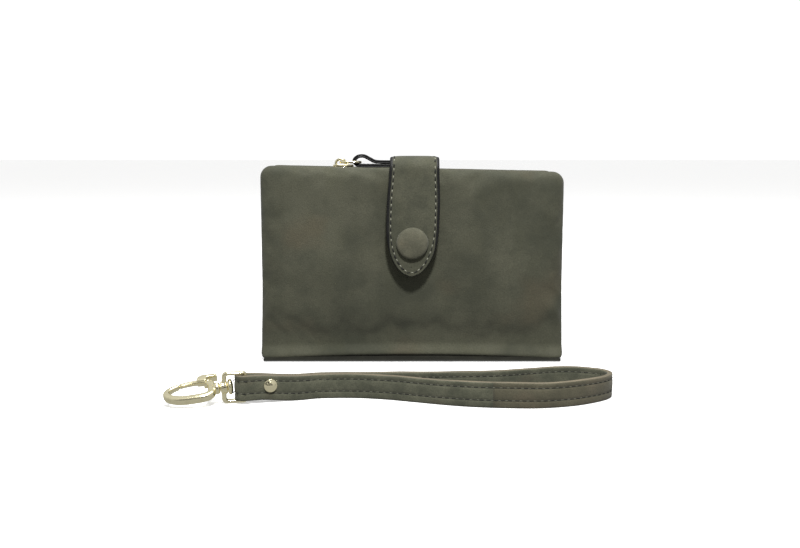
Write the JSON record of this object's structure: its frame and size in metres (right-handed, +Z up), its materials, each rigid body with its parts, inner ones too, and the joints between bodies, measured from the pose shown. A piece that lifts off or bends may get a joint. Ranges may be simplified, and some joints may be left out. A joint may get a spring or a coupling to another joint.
{
  "type": "wristlet wallet",
  "caption": "Padded folding leather wallet with card pockets, a zip coin pocket, a snap tab over the top and a wrist strap with a swivel snap hook.",
  "frame": {"origin": "middle of the wallet's bottom edge, on the surface it stands on", "axes": "+Z up from that surface, +X along the wallet to the right as seen from the front, +Y from the wallet's front to its back"},
  "size_m": [0.1813, 0.1222, 0.099],
  "materials": {
    "olive_leather": "matte nubuck with a mottled olive grey tone",
    "pocket_leather": "smooth matte leather",
    "lining_fabric": "fine woven lining",
    "black_leather": "smooth black leather with painted edges",
    "zip_tape": "woven tape",
    "foam": "soft foam",
    "board": "fibre board",
    "clear_film": "clear flexible film",
    "gold_metal": "polished pale gold plating"
  },
  "bodies": {
    "front_half": {"front_cover_leather": "olive_leather", "front_cover_foam": "foam", "front_cover_board": "board", "front_cover_lining": "lining_fabric", "front_card_pockets": "pocket_leather", "front_slip_pocket": "pocket_leather", "base_leather": "olive_leather", "base_lining": "lining_fabric", "snap_stud": "gold_metal", "snap_stud_washer": "gold_metal"},
    "back_cover": {"back_cover_leather": "olive_leather", "back_cover_foam": "foam", "back_cover_board": "board", "back_cover_lining": "lining_fabric", "back_card_pockets": "pocket_leather", "id_window_frame": "pocket_leather", "id_window_film": "clear_film", "tab_anchor": "olive_leather"},
    "coin_leaf": {"coin_pocket_front_wall": "lining_fabric", "coin_pocket_back_wall": "lining_fabric", "coin_pocket_floor": "lining_fabric", "coin_pocket_left_gusset": "lining_fabric", "coin_pocket_right_gusset": "lining_fabric", "zip_tape_front": "zip_tape", "zip_tape_back": "zip_tape", "zip_teeth_front": "gold_metal", "zip_teeth_back": "gold_metal", "zip_end_stops": "gold_metal"},
    "slider": {"zip_slider": "gold_metal"},
    "pull": {"zip_pull_ring": "gold_metal", "zip_pull_strip": "black_leather"},
    "tab_bridge": {"tab_bridge_leather": "olive_leather", "tab_bridge_lining": "black_leather"},
    "tab_flap": {"tab_flap_leather": "olive_leather", "tab_flap_lining": "black_leather", "snap_button_cover": "olive_leather", "snap_button_core": "gold_metal", "snap_socket": "gold_metal"},
    "wrist_strap": {"strap_outer_ply": "olive_leather", "strap_inner_ply": "olive_leather", "rivet_cap": "gold_metal", "rivet_post": "gold_metal"},
    "ring": {"clasp_ring": "gold_metal"},
    "hook": {"swivel_post": "gold_metal", "hook_body": "gold_metal", "gate_pin": "gold_metal", "gate_spring": "gold_metal"},
    "gate": {"hook_gate": "gold_metal"}
  },
  "joints": [
    {"name": "cover_fold", "type": "hinge", "parent": "front_half", "child": "back_cover", "pos_m": [0, 0.0155, 0.0012], "axis": [-1, 0, 0], "range_deg": [0, 45]},
    {"name": "leaf_fold", "type": "hinge", "parent": "front_half", "child": "coin_leaf", "pos_m": [0, 0.0082, 0.002], "axis": [-1, 0, 0], "range_deg": [0, 23]},
    {"name": "tab_swing", "type": "hinge", "parent": "back_cover", "child": "tab_bridge", "pos_m": [0, 0.0155, 0.0955], "axis": [-1, 0, 0], "range_deg": [0, 154]},
    {"name": "tab_flap_lift", "type": "hinge", "parent": "tab_bridge", "child": "tab_flap", "pos_m": [0, -0.0195, 0.0955], "axis": [-1, 0, 0], "range_deg": [0, 110]},
    {"name": "zip_travel", "type": "slide", "parent": "coin_leaf", "child": "slider", "axis": [1, 0, 0], "range_m": [-0.024, 0]},
    {"name": "pull_flip", "type": "hinge", "parent": "slider", "child": "pull", "pos_m": [-0.0349, 0.002, 0.0952], "axis": [0, -1, 0], "range_deg": [0, 150]},
    {"name": "wrist_strap_lift", "type": "slide", "parent": "front_half", "child": "wrist_strap", "axis": [0, 0, 1], "range_m": [0, 0.15]},
    {"name": "ring_swing", "type": "hinge", "parent": "wrist_strap", "child": "ring", "pos_m": [-0.0685, -0.0934, 0.0064], "axis": [0, 0, 1], "range_deg": [-40, 40]},
    {"name": "hook_swivel", "type": "hinge", "parent": "ring", "child": "hook", "pos_m": [-0.07638, -0.09479, 0.0064], "axis": [-0.9794, -0.1727, -0.1045], "continuous": true},
    {"name": "gate_press", "type": "hinge", "parent": "hook", "child": "gate", "pos_m": [-0.08342, -0.09136, 0.00742], "axis": [-0.0373, -0.3539, 0.9345], "range_deg": [0, 25], "stiffness_Nm_per_rad": 0.02, "springref_deg": -5.73}
  ],
  "couplings": [
    {"joint": "leaf_fold", "follows": "cover_fold", "ratio": 0.5},
    {"joint": "tab_swing", "follows": "cover_fold", "ratio": 3.4}
  ]
}
